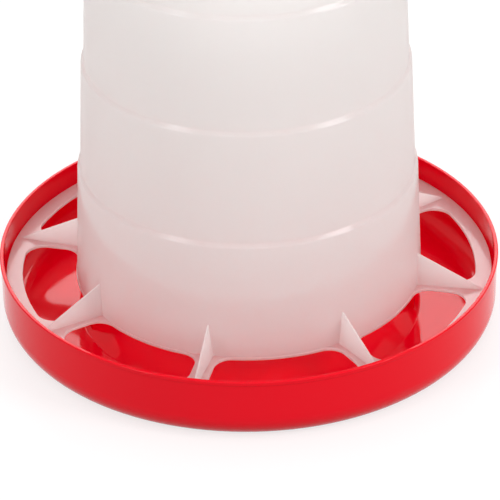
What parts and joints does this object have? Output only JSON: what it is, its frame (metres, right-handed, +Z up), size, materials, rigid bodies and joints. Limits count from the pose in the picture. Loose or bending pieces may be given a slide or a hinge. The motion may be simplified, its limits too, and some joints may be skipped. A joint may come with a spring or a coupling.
{
  "type": "hanging poultry feeder",
  "caption": "Round red feeder tray under a white hopper whose foot spreads into a spoked anti-waste grill, with a wire bail to hang it.",
  "frame": {"origin": "middle of the tray's underside", "axes": "+Z up along the hopper; the bail's hinge line is along X, and the bail lies folded back towards +Y"},
  "size_m": [0.37, 0.37, 0.3818],
  "materials": {
    "red_plastic": "glossy moulded",
    "white_plastic": "satin, translucent",
    "galvanised_wire": "dull zinc"
  },
  "bodies": {
    "tray": {"tray": "red_plastic"},
    "hopper": {"hopper": "white_plastic"},
    "bail": {"bail": "galvanised_wire"}
  },
  "joints": [
    {"name": "lock_twist", "type": "hinge", "parent": "tray", "child": "hopper", "pos_m": [0, 0, 0.0465], "axis": [0, 0, 1], "range_deg": [0, 12.8]},
    {"name": "bail_swing", "type": "hinge", "parent": "hopper", "child": "bail", "pos_m": [0, 0, 0.3658], "axis": [1, 0, 0], "range_deg": [0, 268.9]}
  ]
}
